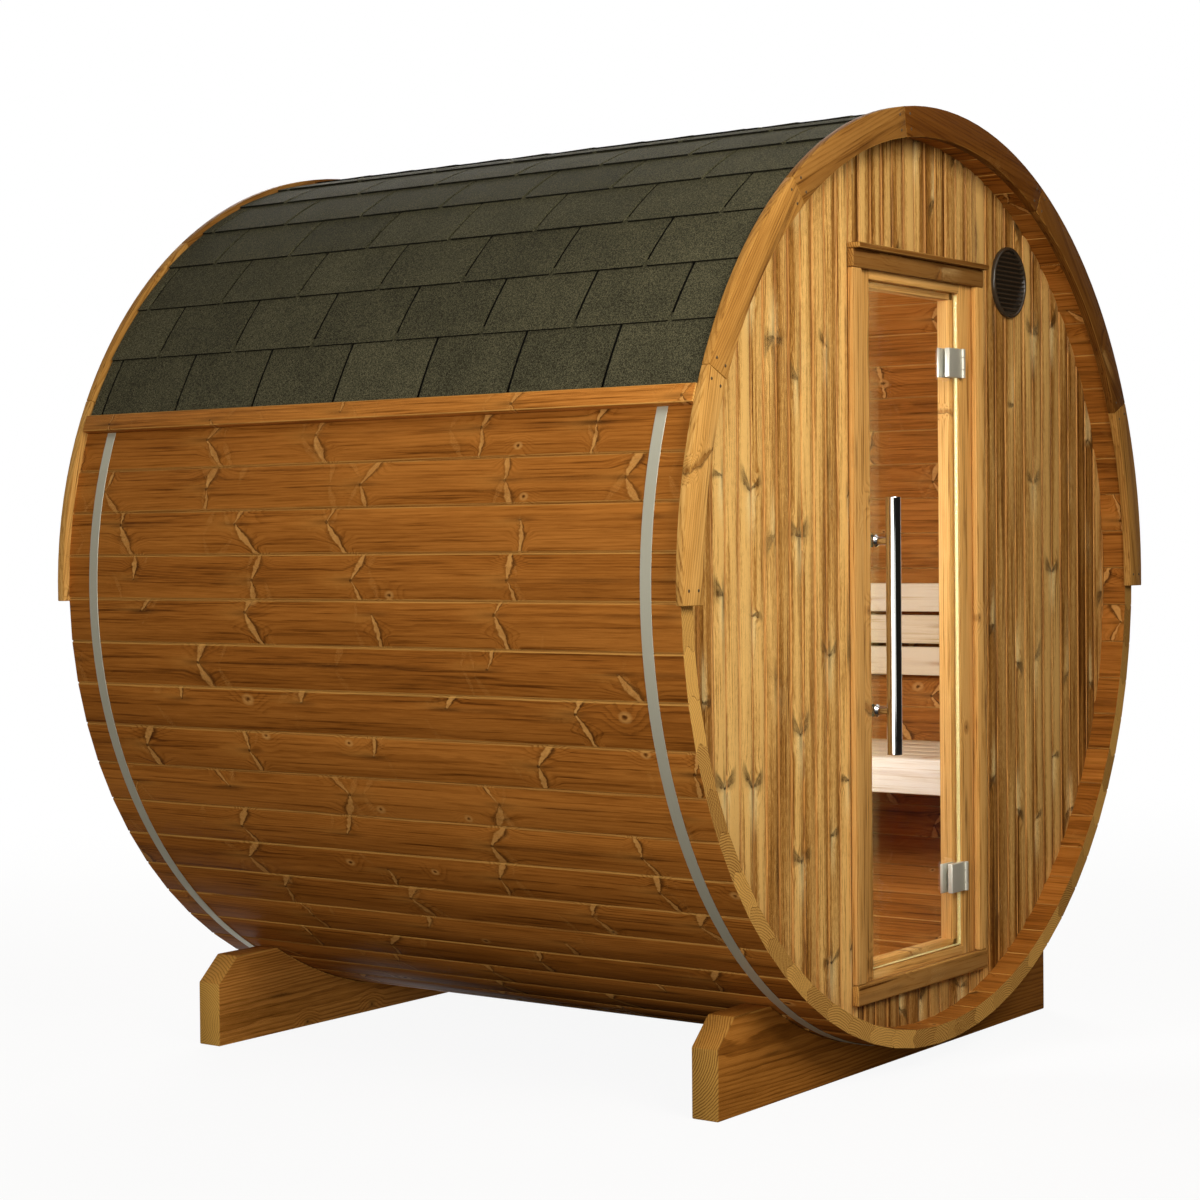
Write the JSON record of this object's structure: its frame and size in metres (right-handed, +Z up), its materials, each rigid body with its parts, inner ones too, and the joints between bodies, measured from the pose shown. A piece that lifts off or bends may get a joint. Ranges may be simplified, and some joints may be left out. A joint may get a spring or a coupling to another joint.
{
  "type": "barrel sauna",
  "caption": "Barrel-shaped wooden sauna on two saddle cradles, with a shingled upper half, steel bands, a hinged glass door, a round vent and a bench inside.",
  "frame": {"origin": "on the ground under the middle of the barrel", "axes": "+Z up, the barrel's axis along Y, the glass door at the -Y end, +X to the right of someone facing the door"},
  "size_m": [2.004, 1.66, 2.0368],
  "materials": {
    "thermo_wood": "brushed heat-treated pine, oiled",
    "end_wall_wood": "profiled boards with knots, oiled",
    "fascia_wood": "sawn boards, oiled",
    "frame_wood": "planed boards, oiled",
    "bench_wood": "planed pale wood, untreated",
    "shingle": "bitumen felt with mineral granules",
    "band_steel": "satin",
    "chrome": "polished",
    "door_glass": "clear toughened",
    "vent_black": "black with a glossy rim"
  },
  "bodies": {
    "cabin": {"roof_staves": "thermo_wood", "left_upper_staves": "thermo_wood", "left_lower_staves": "thermo_wood", "bottom_staves": "thermo_wood", "right_lower_staves": "thermo_wood", "right_upper_staves": "thermo_wood", "front_wall_left": "end_wall_wood", "front_wall_right": "end_wall_wood", "front_wall_over_door": "end_wall_wood", "front_wall_under_door": "end_wall_wood", "rear_wall": "end_wall_wood", "front_fascia_upper": "fascia_wood", "front_fascia_left": "fascia_wood", "front_fascia_right": "fascia_wood", "rear_fascia_upper": "fascia_wood", "rear_fascia_left": "fascia_wood", "rear_fascia_right": "fascia_wood", "front_cradle": "thermo_wood", "rear_cradle": "thermo_wood", "front_band": "band_steel", "rear_band": "band_steel", "eave_batten_left": "thermo_wood", "eave_batten_right": "thermo_wood", "roof_shingles_left": "shingle", "roof_shingles_right": "shingle", "roof_ridge_cap": "shingle", "door_stile_left": "frame_wood", "door_stile_right": "frame_wood", "door_sill_rail": "frame_wood", "door_head_rail": "frame_wood", "door_casing_left": "frame_wood", "door_casing_right": "frame_wood", "door_casing_head": "frame_wood", "door_casing_sill": "frame_wood", "door_drip_cap": "frame_wood", "door_hinge_brackets": "chrome", "vent_grille": "vent_black", "bench_seat": "bench_wood", "bench_front_board": "bench_wood", "bench_bearers": "bench_wood", "backrest_slats": "bench_wood", "backrest_supports": "bench_wood"},
    "door": {"door_glass": "door_glass", "door_handle": "chrome", "door_hinge_clamps": "chrome"}
  },
  "joints": [
    {"name": "door_hinge", "type": "hinge", "parent": "cabin", "child": "door", "pos_m": [0.2, -0.763, 0.9475], "axis": [0, 0, 1], "range_deg": [0, 105]}
  ]
}
